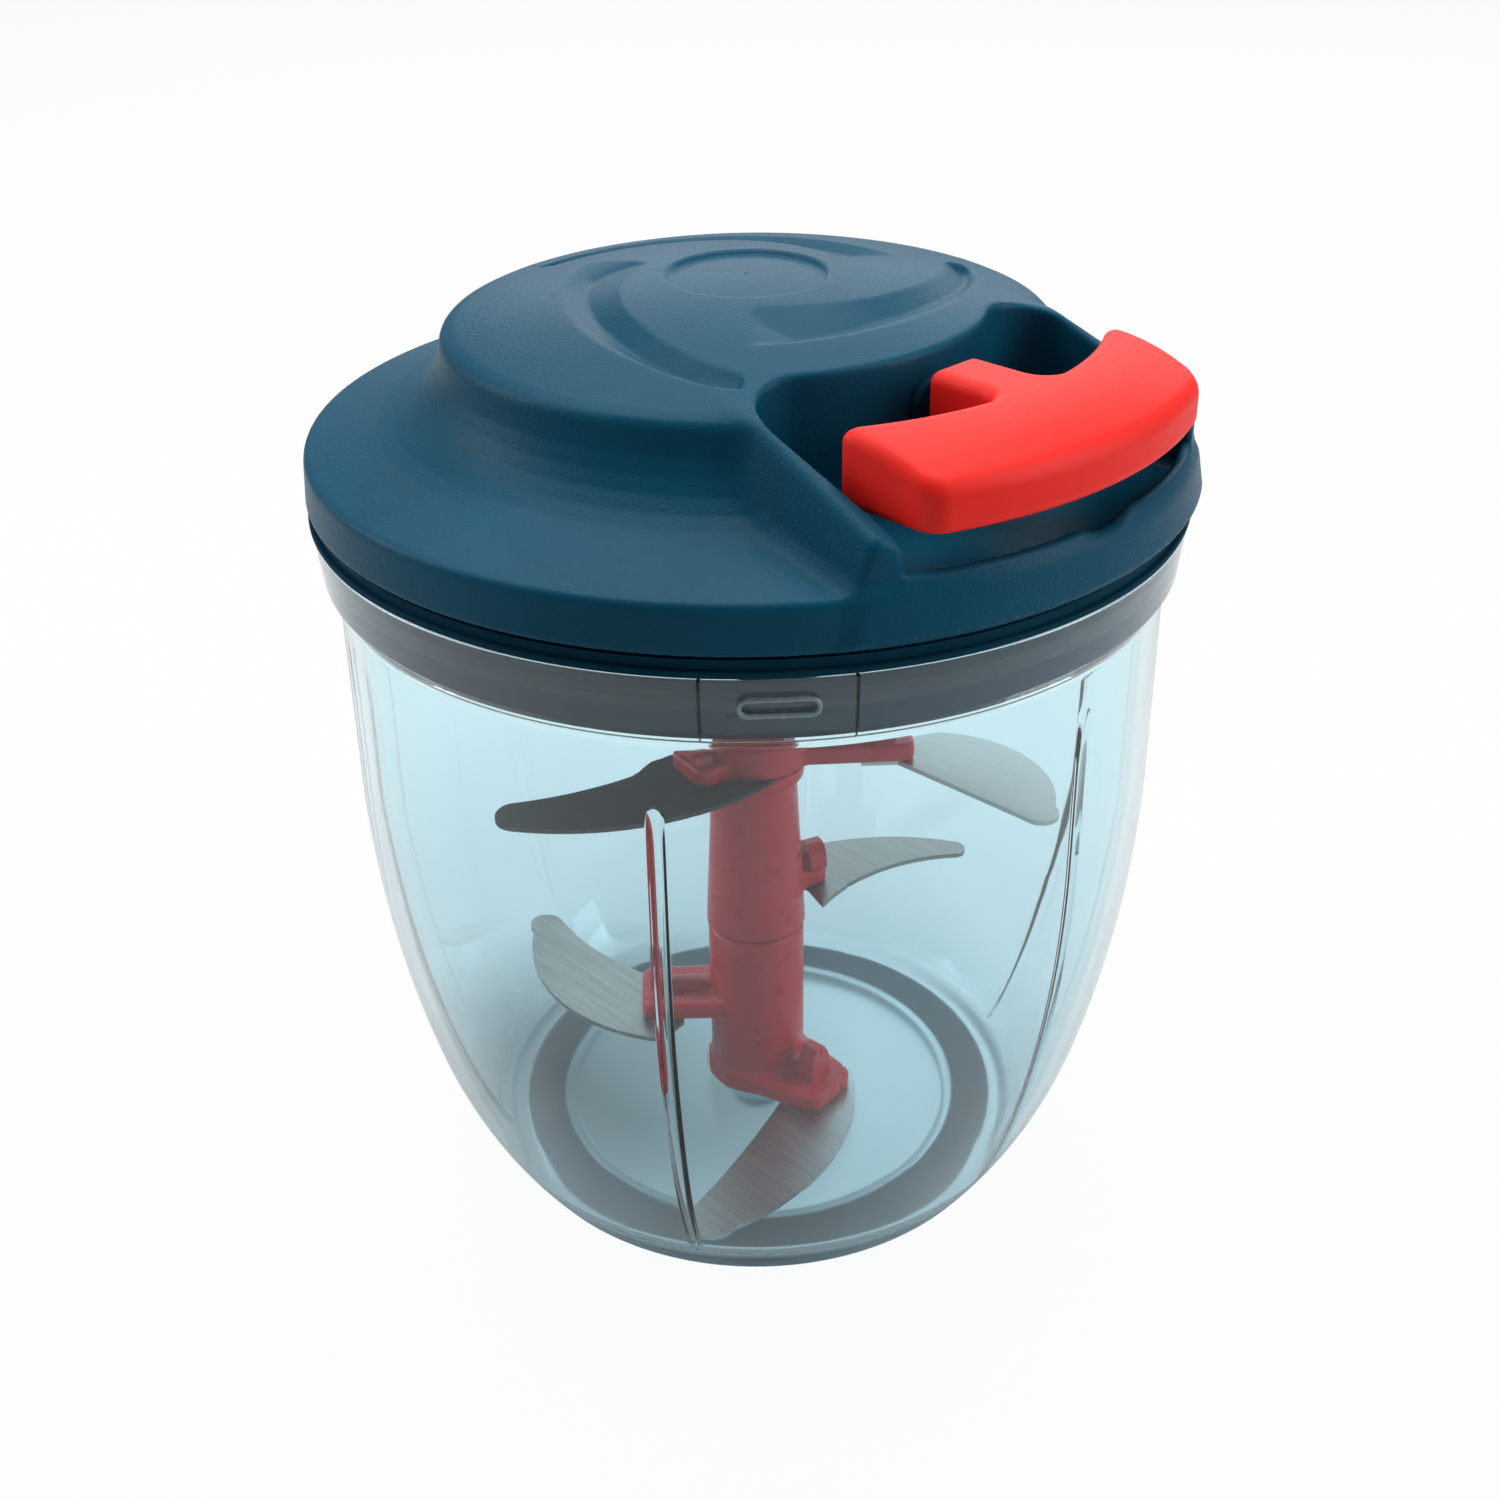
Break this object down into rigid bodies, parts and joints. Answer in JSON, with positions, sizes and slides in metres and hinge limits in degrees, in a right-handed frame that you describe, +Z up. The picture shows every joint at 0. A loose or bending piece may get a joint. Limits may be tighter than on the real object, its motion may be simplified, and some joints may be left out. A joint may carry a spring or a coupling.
{
  "type": "pull-cord food chopper",
  "caption": "Round clear bowl with a domed lid; a T handle in a pocket of the lid pulls a sprung cord that spins a shaft with curved blades.",
  "frame": {"origin": "centre of the anti-slip ring's tread, on the table", "axes": "+Z up the axis of the bowl, lid and blade shaft; the handle pulls out along -Y; +X completes the right-handed frame"},
  "size_m": [0.129, 0.1291, 0.1481],
  "materials": {
    "clear_plastic": "clear moulded copolyester, faint blue-green tint",
    "ring_rubber": "soft matt thermoplastic rubber",
    "steel": "turned stainless pin",
    "red_plastic": "glossy moulded polypropylene",
    "red_clip_plastic": "glossy moulded acetal",
    "pom": "natural acetal, low friction",
    "blade_steel": "stainless steel, ground edge",
    "teal_plastic": "fine matt texture",
    "dark_plastic": "satin to glossy moulding",
    "seal_rubber": "food-safe silicone",
    "screw_steel": "zinc-plated thread-forming screw",
    "cord": "braided nylon, 2 mm",
    "spring_steel": "blued spring strip",
    "coral_plastic": "fine satin texture"
  },
  "bodies": {
    "bowl": {"bowl": "clear_plastic", "base_ring": "ring_rubber", "pivot_pin": "steel"},
    "lid": {"lid_cover": "teal_plastic", "lid_base": "dark_plastic", "lid_seal": "seal_rubber", "housing_screws": "screw_steel", "hub_bush": "pom", "spring_arbor": "pom", "spool_axle": "steel", "cord_guide": "dark_plastic", "cord_lead": "cord"},
    "handle": {"pull_handle": "coral_plastic", "cord_knot": "cord", "pull_cord": "cord"},
    "spool": {"cord_spool": "pom", "cord_winding": "cord", "recoil_spring": "spring_steel", "spool_cap": "spring_steel"},
    "drive": {"drive_hub": "dark_plastic", "clutch_pawls": "pom"},
    "blades": {"blade_shaft_upper": "red_plastic", "blade_shaft_lower": "red_plastic", "shaft_bush": "pom", "blade_clips": "red_clip_plastic", "top_left_blade": "blade_steel", "top_right_blade": "blade_steel", "middle_blade": "blade_steel", "side_blade": "blade_steel", "bottom_blade": "blade_steel"}
  },
  "joints": [
    {"name": "lid_lift", "type": "slide", "parent": "bowl", "child": "lid", "axis": [0, 0, 1], "range_m": [0, 0.06]},
    {"name": "handle_pull", "type": "slide", "parent": "lid", "child": "handle", "axis": [0, -1, 0], "range_m": [0, 0.42], "stiffness_N_per_m": 14, "springref_m": -0.28, "deforming": ["pull_cord"]},
    {"name": "spool_turn", "type": "hinge", "parent": "lid", "child": "spool", "pos_m": [0, 0, 0.13], "axis": [0, 0, -1], "range_deg": [0, 1190], "deforming": ["recoil_spring"]},
    {"name": "hub_turn", "type": "hinge", "parent": "lid", "child": "drive", "pos_m": [0, 0, 0.115], "axis": [0, 0, -1], "range_deg": [0, 1190]},
    {"name": "blade_turn", "type": "hinge", "parent": "bowl", "child": "blades", "pos_m": [0, 0, 0.01], "axis": [0, 0, -1], "range_deg": [0, 1190]}
  ],
  "couplings": [
    {"joint": "spool_turn", "follows": "handle_pull", "rad_per_m": 49.14},
    {"joint": "hub_turn", "follows": "handle_pull", "rad_per_m": 49.14},
    {"joint": "blade_turn", "follows": "handle_pull", "rad_per_m": 49.14}
  ]
}
